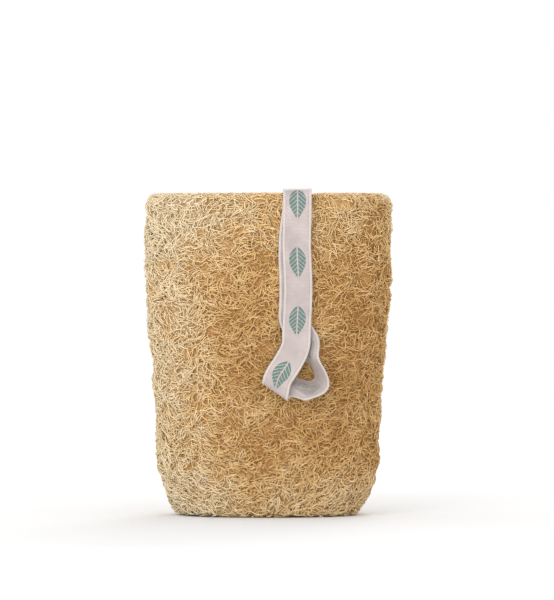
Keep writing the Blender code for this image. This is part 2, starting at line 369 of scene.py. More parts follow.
def growOnSkin(look):
    # strands as (points, radius, tone, depths), walked over the skin until the segments are used
    rng = np.random.default_rng(look["seed"])
    shortest, longest = look["steps"]
    tufts = int(look["segments"] / look["tuft"] / (shortest + longest) * 2 * growth["spare"])
    turn = rng.uniform(0, 1, tufts)
    z = rng.uniform(-growth["overrun"], body["height"] + growth["overrun"], tufts)
    thin = smoothStep(thinField(turn, z) * growth["thinContrast"])
    kept = rng.uniform(0, 1, tufts) > growth["thinning"] * thin
    turn, z = turn[kept], z[kept]
    tufts = len(turn)
    stray = rng.uniform(0, 1, tufts) < look["loose"]
    spread = np.where(stray, growth["looseSpread"], look["spread"])
    offset = look["lean"] * rng.choice((-1, 1), tufts) + rng.normal(0, 1, tufts) * spread
    offset = np.radians(offset + 180 * rng.integers(0, 2, tufts))
    curl = rng.normal(0, look["curl"], tufts)
    wiggle = rng.normal(0, growth["wiggle"], tufts)
    pace = rng.uniform(*growth["wigglePace"], tufts)
    phase = rng.uniform(0, 2 * math.pi, tufts)

    # the members of a tuft start a little beside and ahead of its middle
    member = np.repeat(np.arange(tufts), look["tuft"])
    count = len(member)
    ahead = rng.normal(0, growth["tuftLength"], count)
    beside = rng.normal(0, growth["tuftWidth"], count)
    offset, curl, wiggle = offset[member], curl[member], wiggle[member]
    pace, phase = pace[member], phase[member]
    perimeter = perimeterToWidth * body["upperHalfWidth"]
    turn = turn[member] + (np.cos(offset) * ahead - np.sin(offset) * beside) / perimeter
    z = z[member] + np.sin(offset) * ahead + np.cos(offset) * beside
    offset = offset + rng.normal(0, growth["tuftFan"], count)

    step = look["step"]
    turns, heights = [turn], [z]
    for k in range(longest):
        flow = growth["flow"] * flowField(turn, z)
        flow = flow + growth["whorl"] * smoothStep(whorlField(turn, z) - growth["whorlLevel"])
        heading = offset + flow + curl * k + wiggle * np.sin(phase + pace * k)
        turn = turn + np.cos(heading) * step / (perimeterToWidth * halfWidth(z))
        z = z + np.sin(heading) * step
        turns.append(turn)
        heights.append(z)
    turns, heights = np.array(turns).T, np.array(heights).T
    along = np.arange(longest + 1)[None, :]
    steps = rng.integers(shortest, longest + 1, count)[:, None]
    low, high = look["depth"]
    level = low + (high - low) * rng.beta(growth["levelShape"], growth["levelShape"], count)
    dive = look["weave"] * np.sin(along * rng.uniform(*growth["weavePace"], count)[:, None]
                                  + rng.uniform(0, 2 * math.pi, count)[:, None])
    ends = np.abs(along / steps * 2 - 1) ** growth["endPower"] * growth["endDive"]
    depth = level[:, None] + dive + ends - growth["lump"] * lumpField(turns, heights)
    onBody = np.clip(heights, 0, body["height"])
    covered = underTape(skinPoint(turns, onBody, depth))
    sunk = np.maximum(depth, cover["depth"] * covered + depth * (1 - covered))
    depth = np.where(covered > 0, sunk, depth)
    points = skinPoint(turns, onBody, depth)
    points[..., 2] = heights
    thickness = rng.uniform(*look["radius"], count)
    tone = rng.uniform(0, 1, count)
    between = (heights > growth["footGap"]) & (heights < body["height"] + growth["rimStand"])
    strands, used = [], 0
    for i in rng.permutation(count):
        first, last = firstRun(between[i, :steps[i, 0] + 1])
        if last - first < growth["fewestPoints"]:
            continue
        strands.append((points[i, first:last], thickness[i], tone[i], depth[i, first:last]))
        used += last - first - 1
        if used >= look["segments"]:
            break
    return strands


# Fibres of the two cut ends: strands that lie in the cut, and short ends that stand out of it
cutFibres = dict(seed=41, segments=19000, topShare=0.62, step=0.0014, steps=(4, 10), curl=0.26,
                 shake=0.14, pace=(0.6, 1.2), depth=(0.0, 0.0026), weave=0.0006, footDepth=0.0004,
                 radius=(0.00016, 0.00027))
cutStubs = dict(seed=42, count=2700, topShare=0.66, rise=(-0.0005, 0.0009), root=0.0035, points=4,
                span=(-0.5, 0.8), lean=0.0014, bow=0.0005, footDepth=0.0004,
                radius=(0.00017, 0.00030))
# Fibres that line the chambers' walls, most of them lengthwise and near the mouths
liningFibres = dict(seed=43, segments=16500, step=0.0016, steps=(5, 13), lengthwise=0.6,
                    spread=0.40, curl=0.12, shake=0.12, pace=(0.6, 1.2), nearEnds=0.6, nearTop=0.75,
                    reach=0.03, depth=(0.0001, 0.0020), weave=0.0005, rimGap=0.0003,
                    radius=(0.00015, 0.00026), shade=0.0008)


def underTapeBend(x, y):
    # whether the tape bends over the rim here
    return abs(x - tape["x"]) < cover["bendHalfWidth"] and y < cover["bendFront"]


def pointOnCut(rng, look):
    # a random place on one of the cut ends, and whether it is the upper one
    width = body["upperHalfWidth"]
    top = rng.uniform() < look["topShare"]
    return rng.uniform(-width, width), rng.uniform(-width, width) * body["depthToWidth"], top


def growOnCuts(look):
    rng = np.random.default_rng(look["seed"])
    strands, used = [], 0
    while used < look["segments"]:
        x, y, top = pointOnCut(rng, look)
        level = rng.uniform(*look["depth"])
        heading, curl = rng.uniform(0, 2 * math.pi), rng.normal(0, look["curl"])
        phase, pace = rng.uniform(0, 2 * math.pi), rng.uniform(*look["pace"])
        path, depths = [], []
        for k in range(rng.integers(*look["steps"])):
            depth = level + look["weave"] * math.sin(phase + pace * k)
            z = body["height"] - depth if top else max(depth, look["footDepth"])
            if bodyLevel(x, y, z) > 1 or chamberLevel(x, y) < 1:
                break
            if top and underTapeBend(x, y):
                z = min(z, body["height"] - cover["bendDepth"])
            path.append((x, y, z))
            depths.append(depth)
            heading += curl + rng.normal(0, look["shake"])
            x += math.cos(heading) * look["step"]
            y += math.sin(heading) * look["step"]
        if len(path) < growth["fewestPoints"]:
            continue
        strands.append((np.array(path), rng.uniform(*look["radius"]), rng.uniform(),
                        np.array(depths)))
        used += len(path) - 1
    return strands


def growStubs(look):
    rng = np.random.default_rng(look["seed"])
    strands = []
    share = np.linspace(*look["span"], look["points"])
    bend = 4 * share ** 2  # 1 where the share is a half
    while len(strands) < look["count"]:
        x, y, top = pointOnCut(rng, look)
        end = body["height"] if top else 0.0
        if bodyLevel(x, y, end) > 1 or chamberLevel(x, y) < 1 or underTapeBend(x, y):
            continue
        lean, bow = rng.normal(0, look["lean"], 2), rng.normal(0, look["bow"], 2)
        outer = end + rng.uniform(*look["rise"]) if top else look["footDepth"]
        inner = end - look["root"] if top else look["root"]
        path = np.stack((x + lean[0] * share + bow[0] * bend,
                         y + lean[1] * share + bow[1] * bend,
                         np.linspace(inner, outer, len(share))), axis=-1)
        strands.append((path, rng.uniform(*look["radius"]), rng.uniform(),
                        np.full(len(share), look["footDepth"])))
    return strands


def growInChambers(look):
    rng = np.random.default_rng(look["seed"])
    strands, used = [], 0
    places = list(chambers.values())
    while used < look["segments"]:
        cx, cy, halfX, halfY = places[rng.integers(len(places))]
        angle = rng.uniform(0, 2 * math.pi)
        z = rng.uniform(0, body["height"])
        if rng.uniform() < look["nearEnds"]:
            inward = abs(rng.normal(0, look["reach"]))
            z = body["height"] - inward if rng.uniform() < look["nearTop"] else inward
        level = rng.uniform(*look["depth"])
        heading = math.pi / 2 if rng.uniform() < look["lengthwise"] else 0
        heading += rng.normal(0, look["spread"]) + math.pi * rng.integers(0, 2)
        curl = rng.normal(0, look["curl"])
        phase, pace = rng.uniform(0, 2 * math.pi), rng.uniform(*look["pace"])
        path, depths = [], []
        for k in range(rng.integers(*look["steps"])):
            if not growth["footGap"] < z < body["height"] - look["rimGap"]:
                break
            depth = level + look["weave"] * math.sin(phase + pace * k)
            ox, oy = ovalPoint(angle, chamberPower)
            x, y = cx + ox * (halfX + depth), cy + oy * (halfY + depth)
            path.append((float(x), float(y), z))
            # painted shade: the lining's fibres count as deeper than they lie, so the chambers' walls are
            # painted darker
            depths.append(depth + look["shade"])
            heading += curl + rng.normal(0, look["shake"])
            angle += math.cos(heading) * look["step"] / ((halfX + halfY) / 2)
            z += math.sin(heading) * look["step"]
        if len(path) < growth["fewestPoints"]:
            continue
        strands.append((np.array(path), rng.uniform(*look["radius"]), rng.uniform(),
                        np.array(depths)))
        used += len(path) - 1
    return strands


def strandMesh(name, strands):
    # one bevelled curve with pointed ends for all the strands, as a mesh with two attributes
    sides = growth["sides"]
    profile = bpy.data.curves.new("strandProfile", "CURVE")
    profile.dimensions = "2D"
    corners = [2 * math.pi * k / sides for k in range(sides)]
    ring = addLine(profile, [(math.cos(turn), math.sin(turn), 0) for turn in corners])
    ring.use_cyclic_u = True
    profileObject = putObject("strandProfile", profile)
    curve = bpy.data.curves.new(name, "CURVE")
    curve.dimensions = "3D"
    curve.bevel_mode = "OBJECT"
    curve.bevel_object = profileObject
    for path, thickness, tone, depths in strands:
        radii = np.full(len(path), thickness * growth["girth"])
        radii[0] = radii[-1] = 0
        addLine(curve, path).points.foreach_set("radius", radii)
    mesh = meshOfCurve(name, curve)
    bpy.data.objects.remove(profileObject)
    tones = np.concatenate([np.full(len(path), tone) for path, thickness, tone, depths in strands])
    sunk = np.concatenate([depths for path, thickness, tone, depths in strands]) * mmPerMetre
    for title, values in (("fibreTone", tones), ("fibreDepth", sunk)):
        attribute = mesh.attributes.new(title, "FLOAT", "POINT")
        attribute.data.foreach_set("value", np.repeat(values, sides))
    closeMesh(mesh)
    mesh.calc_loop_triangles()
    return mesh


# Materials

def newMaterial(name):
    material = bpy.data.materials.new(name)
    material.use_nodes = True
    tree = material.node_tree
    return material, tree, tree.nodes["Principled BSDF"]


def addNode(tree, kind, inputs=None, **settings):
    node = tree.nodes.new(kind)
    for key, value in settings.items():
        setattr(node, key, value)
    for key, value in (inputs or {}).items():
        if isinstance(value, bpy.types.NodeSocket):
            tree.links.new(value, node.inputs[key])
        else:
            node.inputs[key].default_value = value
    return node


def calc(tree, operation, a, b=0.0, clamp=False):
    node = addNode(tree, "ShaderNodeMath", {0: a, 1: b}, operation=operation, use_clamp=clamp)
    return node.outputs[0]


def times(tree, a, b):
    return calc(tree, "MULTIPLY", a, b)


def mixColours(tree, factor, a, b, blend="MIX"):
    # sockets 6, 7 and 2 are the Mix node's two colours and its mixed colour
    node = addNode(tree, "ShaderNodeMix", {0: factor, 6: a, 7: b}, data_type="RGBA", blend_type=blend)
    return node.outputs[2]


def noise(tree, place, scale, detail=2.0):
    return addNode(tree, "ShaderNodeTexNoise", {"Vector": place, "Scale": scale, "Detail": detail})


def fade(tree, value, low, high, first=0.0, last=1.0, **settings):
    # first where the value is low, last where it is high
    spans = {"Value": value, "From Min": low, "From Max": high, "To Min": first, "To Max": last}
    return addNode(tree, "ShaderNodeMapRange", spans, **settings).outputs[0]


def finishMaterial(tree, shader, look, colour, height=None):
    # the colour, the constants that the look gives, and a bump where there is a height
    tree.links.new(colour, shader.inputs["Base Color"])
    for name in ("Roughness", "Specular IOR Level", "Sheen Weight"):
        if name in look:
            shader.inputs[name].default_value = look[name]
    if height is not None:
        bump = addNode(tree, "ShaderNodeBump", {"Height": height, "Strength": look["bump"],
                                                "Distance": look["bumpDepth"]})
        tree.links.new(bump.outputs[0], shader.inputs["Normal"])


def newGroup(name, inputs, outputs):
    # an empty shader node group with these sockets, and its two end nodes
    group = bpy.data.node_groups.new(name, "ShaderNodeTree")
    for way, sockets in (("INPUT", inputs), ("OUTPUT", outputs)):
        for title, kind in sockets.items():
            group.interface.new_socket(title, in_out=way, socket_type="NodeSocket" + kind)
    return group, addNode(group, "NodeGroupInput"), addNode(group, "NodeGroupOutput")


def ramp(tree, value, stops):
    node = addNode(tree, "ShaderNodeValToRGB", {0: value})
    elements = node.color_ramp.elements
    elements[0].position, elements[0].color = stops[0][0], (*stops[0][1], 1)
    elements[1].position, elements[1].color = stops[-1][0], (*stops[-1][1], 1)
    for place, colour in stops[1:-1]:
        elements.new(place).color = (*colour, 1)
    return node.outputs[0]


straw = {
    "brown": (0.57, 0.310, 0.100),
    "golden": (0.67, 0.408, 0.150),
    "pale": (0.760, 0.515, 0.238),
    "bleached": (0.79, 0.605, 0.355),
    "palest": (0.82, 0.675, 0.450),
    "stops": {"brown": 0.0, "golden": 0.26, "pale": 0.54, "bleached": 0.80, "palest": 1.0},
    # painted light: the top and the left side are painted paler, as a light haze over them, the side
    # partly also for real bleaching; the foot is painted paler to lift the shade near the floor
    "sideSpan": (-0.060, 0.006),
    "sideBleachAndPaintedHaze": (0.46, -0.10),
    "topSpan": (0.106, 0.160),
    "topPaintedHaze": 0.34,
    "footSpan": (0.034, 0.004),
    "footPaintedLight": 0.36,
    "ownTone": 0.36,
    "patchTone": 0.70,
    "patchScale": 38.0,
    "patchDetail": 3.0,
    "fleckTone": 0.24,
    "fleckScale": 420.0,
    "toneLevel": -0.24,
    # painted shade: how much darker a fibre is painted for each millimetre of depth
    "depthShade": 0.08,
    "Roughness": 0.62,
    "Specular IOR Level": 0.35,
}


def strawToneGroup():
    # colour of a fibre from its own tone, 0 to 1, and its depth under the skin in millimetres; deeper
    # fibres get painted shade, and the top, the left side and the foot are painted paler
    group, entry, leave = newGroup("strawTone", {"Tone": "Float", "Depth": "Float"},
                                   {"Color": "Color"})
    place = addNode(group, "ShaderNodeTexCoord").outputs["Object"]
    patches = noise(group, place, straw["patchScale"], straw["patchDetail"])
    flecks = noise(group, place, straw["fleckScale"])
    parts = addNode(group, "ShaderNodeSeparateXYZ", {0: place})
    tone = times(group, entry.outputs["Tone"], straw["ownTone"])
    for pattern, weight in ((patches, straw["patchTone"]), (flecks, straw["fleckTone"])):
        tone = calc(group, "ADD", tone, times(group, pattern.outputs[0], weight))
    tone = calc(group, "ADD", tone, straw["toneLevel"])
    # painted light: paler towards the left side, the top and the foot
    for axis, span, change in ((0, straw["sideSpan"], straw["sideBleachAndPaintedHaze"]),
                               (2, straw["topSpan"], (0, straw["topPaintedHaze"])),
                               (2, straw["footSpan"], (0, straw["footPaintedLight"]))):
        bleachAndPaintedLight = fade(group, parts.outputs[axis], *span, *change, interpolation_type="SMOOTHSTEP")
        tone = calc(group, "ADD", tone, bleachAndPaintedLight)
    # painted shade: the deeper the fibre lies under the skin, the darker its colour
    sunk = times(group, entry.outputs["Depth"], straw["depthShade"])
    tone = calc(group, "SUBTRACT", tone, sunk, clamp=True)
    colour = ramp(group, tone, [(stop, straw[name]) for name, stop in straw["stops"].items()])
    group.links.new(colour, leave.inputs["Color"])
    return group


strawTone = strawToneGroup()


def fibreMaterial():
    material, tree, shader = newMaterial("loofahFibre")
    tone = addNode(tree, "ShaderNodeAttribute", attribute_name="fibreTone").outputs["Fac"]
    depth = addNode(tree, "ShaderNodeAttribute", attribute_name="fibreDepth").outputs["Fac"]
    group = addNode(tree, "ShaderNodeGroup", node_tree=strawTone)
    tree.links.new(tone, group.inputs["Tone"])
    tree.links.new(depth, group.inputs["Depth"])
    finishMaterial(tree, shader, straw, group.outputs["Color"])
    return material


# Core: the mass of fibres under the modelled ones
core = {
    "depth": 0.0024,
    "cutDepth": 0.0024,
    "chamberDepth": 0.0020,
    "lump": 0.0007,
    "sides": 120,
    "rows": 48,
    "chamberSides": 48,
    "chamberRows": 24,
    "overrun": 0.005,
    "warpScale": 180.0,
    "warp": 0.006,
    "nets": ((330.0, 0.16), (520.0, 0.20)),
    "secondNet": 0.7,
    "strandTone": 0.9,
    "shadeDepth": 4.5,
    "shade": (0.88, 0.84, 0.80, 1),
    "bump": 0.8,
    "bumpDepth": 0.0006,
    "Roughness": 0.8,
}


def coreMaterial():
    # fibres too deep to model one by one: two warped nets of pale strands over brown hollows, all painted
    # darker with shade for their depth
    material, tree, shader = newMaterial("loofahDeepNet")
    place = addNode(tree, "ShaderNodeTexCoord").outputs["Object"]
    warp = noise(tree, place, core["warpScale"]).outputs["Color"]
    push = addNode(tree, "ShaderNodeVectorMath", {0: warp, 1: (0.5, 0.5, 0.5)},
                   operation="SUBTRACT").outputs[0]
    push = addNode(tree, "ShaderNodeVectorMath", {0: push, "Scale": core["warp"]},
                   operation="SCALE").outputs[0]
    bent = addNode(tree, "ShaderNodeVectorMath", {0: place, 1: push}, operation="ADD").outputs[0]
    nets = []
    for scale, width in core["nets"]:
        cells = addNode(tree, "ShaderNodeTexVoronoi", {"Vector": bent, "Scale": scale},
                        feature="DISTANCE_TO_EDGE")
        nets.append(fade(tree, cells.outputs["Distance"], 0.0, width, 1.0, 0.0))
    strand = calc(tree, "MAXIMUM", nets[0], times(tree, nets[1], core["secondNet"]))
    group = addNode(tree, "ShaderNodeGroup", node_tree=strawTone)
    tree.links.new(times(tree, strand, core["strandTone"]), group.inputs["Tone"])
    group.inputs["Depth"].default_value = core["shadeDepth"]
    # painted shade: the deep net is darkened by a multiplied shade colour as well as by its depth
    colour = mixColours(tree, 1.0, group.outputs["Color"], core["shade"], "MULTIPLY")
    finishMaterial(tree, shader, core, colour, strand)
    return material


def uprightTube(sides, rows):
    # a closed cylinder of radius 1 from -1 to 1, its wall cut into rows
    bm = bmesh.new()
    bmesh.ops.create_cone(bm, cap_ends=True, segments=sides, radius1=1, radius2=1, depth=2)
    upright = [e for e in bm.edges if abs(e.verts[0].co.z - e.verts[1].co.z) > 1]
    bmesh.ops.subdivide_edges(bm, edges=upright, cuts=rows - 1)
    return bm


def makeCore(material):
    bm = uprightTube(core["sides"], core["rows"])
    for vert in bm.verts:
        turn = math.atan2(vert.co.y, vert.co.x) / (2 * math.pi)
        share = (vert.co.z + 1) / 2
        z = core["cutDepth"] + share * (body["height"] - 2 * core["cutDepth"])
        depth = core["depth"] - core["lump"] * float(lumpField(turn, z))
        vert.co = skinPoint(np.array(turn), np.array(z), depth)
    blank = putObject("loofahCore", meshFrom(bm, "loofahCore"))
    cutters = []
    for name, (cx, cy, halfX, halfY) in chambers.items():
        wideX, wideY = halfX + core["chamberDepth"], halfY + core["chamberDepth"]
        bm = uprightTube(core["chamberSides"], core["chamberRows"])
        for vert in bm.verts:
            ox, oy = ovalPoint(math.atan2(vert.co.y, vert.co.x), chamberPower)
            z = (vert.co.z + 1) / 2 * (body["height"] + 2 * core["overrun"]) - core["overrun"]
            vert.co = (cx + ox * wideX, cy + oy * wideY, z)
        cutters.append(putObject(name, meshFrom(bm, name)))
        cut = blank.modifiers.new(name, "BOOLEAN")
        cut.operation, cut.solver, cut.object = "DIFFERENCE", "EXACT", cutters[-1]
    bpy.context.view_layer.update()
    mesh = meshOf(blank, "loofahCore")
    for cutter in cutters:
        bpy.data.objects.remove(cutter)
    return putPiece("loofahCore", mesh, material)


# Tape geometry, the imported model's own route walked in finer steps

def chamberFront():
    x, y, halfX, halfY = chambers["tapeChamber"]
    sides = tape["chamberSides"]
    corners = [ovalPoint((2 * k + 1) * math.pi / sides, chamberPower) for k in range(sides)]
    front = sorted((x + cx * halfX, y + cy * halfY) for cx, cy in corners if cy < 0)
    edges = (tape["x"] - tape["width"] / 2, tape["x"] + tape["width"] / 2)
    return max(float(np.interp(e, [p[0] for p in front], [p[1] for p in front])) for e in edges)


def seatOutline(x):
    # where the tape lies, as y and z: up the front, over the rim and down the chamber's wall
    heights = np.linspace(tape["loopTop"], body["height"] - body["rimHeight"], tape["seatRows"])
    wall, top, gap = chamberFront(), body["height"], tape["mouthClearance"]
    corners = [Vector((frontY(x, z), z)) for z in heights]
    corners.append(Vector((corners[-1].x, top)))
    corners.append(Vector((wall + gap, top + gap)))
    corners.append(Vector((wall, top - tape["endDepth"])))
    return corners


def offsetOutline(corners, lift):
    along = [(b - a).normalized() for a, b in zip(corners, corners[1:])]
    normals = [Vector((-a.y, a.x)) for a in along]
    normals = [normals[0], *normals, normals[-1]]
    moved = []
    for corner, before, after in zip(corners, normals, normals[1:]):
        middle = (before + after).normalized()
        moved.append(corner + middle * lift / middle.dot(before))
    return moved


def roundCorners(corners, radius):
    points = [corners[0]]
    for before, corner, after in zip(corners, corners[1:], corners[2:]):
        back, ahead = before - corner, after - corner
        if math.pi - back.angle(ahead) < math.radians(tape["leastTurn"]):
            points.append(corner)
            continue
        start = corner + back.normalized() * min(radius, back.length * tape["cornerReach"])
        end = corner + ahead.normalized() * min(radius, ahead.length * tape["cornerReach"])
        for t in np.linspace(0, 1, tape["arcSteps"] + 1):
            points.append(start * (1 - t) ** 2 + corner * 2 * t * (1 - t) + end * t * t)
    points.append(corners[-1])
    return points


def frontSlope(x, z):
    span = tape["width"] / 2
    return (frontY(x + span, z) - frontY(x - span, z)) / (2 * span)


def limbStations(lift, shift):
    outline = roundCorners(offsetOutline(seatOutline(tape["x"] + shift), lift), tape["bend"] + lift)
    stations = []
    for y, z in outline:
        outside = y < frontY(tape["x"], body["height"])
        share = float(smoothStep((body["height"] - z) / tape["settle"])) if outside else 0
        x = tape["x"] + shift * share
        width = Vector((1, frontSlope(x, tape["loopTop"]) * share, 0)).normalized()
        stations.append((Vector((x, y, z)), width))
    return stations


def loopRow(x, lift, z, turn, out):
    turn, out = math.radians(turn), math.radians(out)
    reach = tape["width"] / 2 * abs(math.cos(turn) * math.cos(out))
    bodyY = min(frontY(x + side * reach, z) for side in (-1, 0, 1))
    return np.array((x, bodyY - lift, z, turn, out))


def splineThrough(values, steps):
    # a smooth curve through the values, in so many steps from one to the next
    ends = [values[0] * 2 - values[1]] + values + [values[-1] * 2 - values[-2]]
    points = []
    for a, b, c, d in zip(ends, ends[1:], ends[2:], ends[3:]):
        for k in range(steps):
            t = k / steps
            points.append((b * 2 + (c - a) * t + (a * 2 - b * 5 + c * 4 - d) * t ** 2
                           + (b * 3 - a - c * 3 + d) * t ** 3) / 2)
    points.append(values[-1])
    return points


def loopRoute(before, after):
    # the loop end, from the over limb's last two places to the under limb's first two
    steps = tape["loopSteps"]
    lean = math.atan(frontSlope(tape["x"], tape["loopTop"]))
    ends = [np.array((*middle, 0, -lean)) for middle in before + after]
    rows = splineThrough(ends[:2] + [loopRow(*row) for row in loopStations] + ends[2:], steps)
    stations = []
    for x, y, z, turn, out in rows[steps + 1:-steps - 1]:
        flat = math.cos(out)
        width = Vector((math.cos(turn) * flat, -math.sin(out), -math.sin(turn) * flat))
        stations.append((Vector((x, y, z)), width))
    return stations


def tapeStations():
    over = limbStations(tape["overLift"], 0)[::-1]
    under = limbStations(tape["underLift"], tape["underShift"])
    loop = loopRoute([s[0] for s in over[-2:]], [s[0] for s in under[:2]])
    return over + loop + under


def evenStations(stations, length):
    # the same route in rows of equal length, with each row's distance along the strip
    track = np.array([(*middle, *width) for middle, width in stations])
    distance = distanceAlong(track[:, :3])
    rows = np.linspace(0, distance[-1], int(round(distance[-1] / length)) + 1)
    track = resample(track, distance, rows)
    for k in range(3):  # a soft strip has no kinks
        track[1:-1] = (track[:-2] + 2 * track[1:-1] + track[2:]) / 4
    return track[:, :3], track[:, 3:], rows


def makeTape(innerMaterial, outerMaterial):
    middles, widths, rows = evenStations(tapeStations(), tape["rowLength"])
    spans, half = len(rows) - 1, tape["width"] / 2
    rimFront = frontY(tape["x"], body["height"]) - tape["rimGap"]
    outside = [k for k in range(spans // 2) if middles[k][1] < rimFront]
    marked = min(outside, key=lambda k: abs(middles[k][2] - tape["motifHeight"]))
    start = rows[marked] % tape["motifSpacing"]
    bm = bmesh.new()
    uvLayer = bm.loops.layers.uv.new("tapeCloth")
    thick = bm.verts.layers.deform.verify()
    bmesh.ops.create_grid(bm, x_segments=tape["columns"], y_segments=spans, size=1)
    place = {}
    for vert in bm.verts:
        k = round((vert.co.y + 1) / 2 * spans)
        side = vert.co.x
        middle, width = Vector(middles[k]), Vector(widths[k]).normalized()
        free = float(smoothStep((body["height"] - middle.z) / tape["settle"]))
        free *= middle.y < tape["hangFront"]
        middle.x += tape["sway"] * math.sin(tape["swayPace"] * middle.z) * free
        along = Vector(middles[min(k + 1, spans)] - middles[max(k - 1, 0)]).normalized()
        slant = min(abs(width.dot(along)), tape["mostSlant"])
        reach = half / math.sqrt(1 - slant ** 2)  # a row may run askew at the fold
        wave = math.sin(rows[k] * tape["ripplePace"] + tape["rippleSkew"] * side)
        ripple = tape["ripple"] * wave * side ** 2
        place[vert] = (side * half * cmPerMetre, (rows[k] - start) * cmPerMetre)
        vert[thick][0] = float(smoothStep((abs(side) - tape["selvedgeFrom"]) / tape["selvedgeFade"]))
        vert.co = middle + width * (side * reach) + width.cross(along).normalized() * ripple
    for face in bm.faces:
        face.smooth = True
        for loop in face.loops:
            loop[uvLayer].uv = place[loop.vert]
    mesh = meshFrom(bm, "hangingTape")
    strip = putPiece("hangingTape", mesh, innerMaterial)
    mesh.materials.append(outerMaterial)
    strip.vertex_groups.new(name="selvedge")
    wall = strip.modifiers.new("thickness", "SOLIDIFY")
    wall.thickness = tape["thickness"]
    wall.offset = 0
    wall.use_even_offset = True
    wall.material_offset = 1
    wall.vertex_group = "selvedge"
    wall.thickness_vertex_group = tape["middleThickness"]
    return strip, float(rows[-1])


# Cloth of the tape, with its selvedge and groove in centimetres from the strip's middle
cloth = {
    "ribsPerCm": 15.0,
    "warpPace": 1.4,
    "wobbleScale": 14.0,
    "wobble": 1.1,
    "ribShare": 0.65,
    "warpShare": 0.35,
    "gapSpan": (0.15, 0.7),
    "gapShade": 0.30,
    "selvedgeSpan": (0.56, 0.60),
    "selvedgeAndHighlightShare": 0.6,
    "grooveAt": 0.565,
    "grooveWidth": 0.025,
    "grooveShade": 0.25,
    "foldShadeScale": 1.1,
    "foldShadeDetail": 5.0,
    "leafRise": 0.5,
    "bump": 0.6,
    "bumpDepth": 0.00015,
    "Roughness": 0.55,
    "Sheen Weight": 0.25,
}


def clothWeaveGroup():
    # ribs across the tape and fine threads along it, from tape coordinates in centimetres
    group, entry, leave = newGroup("clothWeave", {"Cloth": "Vector", "Ribs per cm": "Float"},
                                   {"Height": "Float", "Gaps": "Float"})
    parts = addNode(group, "ShaderNodeSeparateXYZ", {0: entry.outputs["Cloth"]})
    turns = times(group, entry.outputs["Ribs per cm"], 2 * math.pi)
    wobble = noise(group, entry.outputs["Cloth"], cloth["wobbleScale"]).outputs[0]
    wobble = times(group, wobble, cloth["wobble"])
    rib = calc(group, "ADD", times(group, parts.outputs[1], turns), wobble)
    warp = times(group, parts.outputs[0], turns)
    warp = times(group, warp, cloth["warpPace"])
    shares = []
    for phase, share in ((rib, cloth["ribShare"]), (warp, cloth["warpShare"])):
        ridge = calc(group, "SINE", times(group, phase, 0.5))
        shares.append(times(group, calc(group, "ABSOLUTE", ridge), share))
    height = calc(group, "ADD", *shares)
    group.links.new(height, leave.inputs["Height"])
    group.links.new(fade(group, height, *cloth["gapSpan"], 1.0, 0.0), leave.inputs["Gaps"])
    return group


# Leaf motif of the tape, in centimetres
leaf = {
    "length": 1.60,
    "halfWidth": 0.405,
    "pixel": 0.022,
    "tipLean": 0.35,
    "midrib": 0.025,
    "veinSlope": 0.9,
    "veinSpacing": 0.105,
    "vein": 0.019,
}


def leafGroup():
    # a small woven leaf, repeated along the tape: its blade without the pale veins
    group, entry, leave = newGroup("wovenLeaf", {"Cloth": "Vector", "Spacing": "Float", "Length": "Float",
                                                 "Half width": "Float"}, {"Blade": "Float"})
    parts = addNode(group, "ShaderNodeSeparateXYZ", {0: entry.outputs["Cloth"]})
    side = calc(group, "ABSOLUTE", calc(group, "SNAP", parts.outputs[0], leaf["pixel"]))
    row = calc(group, "SNAP", parts.outputs[1], leaf["pixel"])
    half = times(group, entry.outputs["Spacing"], 0.5)
    row = addNode(group, "ShaderNodeMath", {0: row, 1: half, 2: times(group, half, -1.0)},
                  operation="WRAP").outputs[0]
    share = calc(group, "DIVIDE", row, times(group, entry.outputs["Length"], 0.5))
    swell = calc(group, "SUBTRACT", 1.0, times(group, share, share))
    lean = calc(group, "SUBTRACT", 1.0, times(group, share, leaf["tipLean"]))
    edge = times(group, swell, lean)
    edge = times(group, edge, entry.outputs["Half width"])
    blade = calc(group, "GREATER_THAN", edge, side)
    midrib = calc(group, "GREATER_THAN", side, leaf["midrib"])
    vein = calc(group, "SUBTRACT", row, times(group, side, leaf["veinSlope"]))
    vein = addNode(group, "ShaderNodeMath", {0: vein, 1: leaf["veinSpacing"], 2: -leaf["veinSpacing"]},
                   operation="WRAP").outputs[0]
    vein = calc(group, "GREATER_THAN", calc(group, "ABSOLUTE", vein), leaf["vein"])
    blade = times(group, times(group, blade, midrib), vein)
    group.links.new(blade, leave.inputs["Blade"])
    return group


clothWeave, wovenLeaf = clothWeaveGroup(), leafGroup()


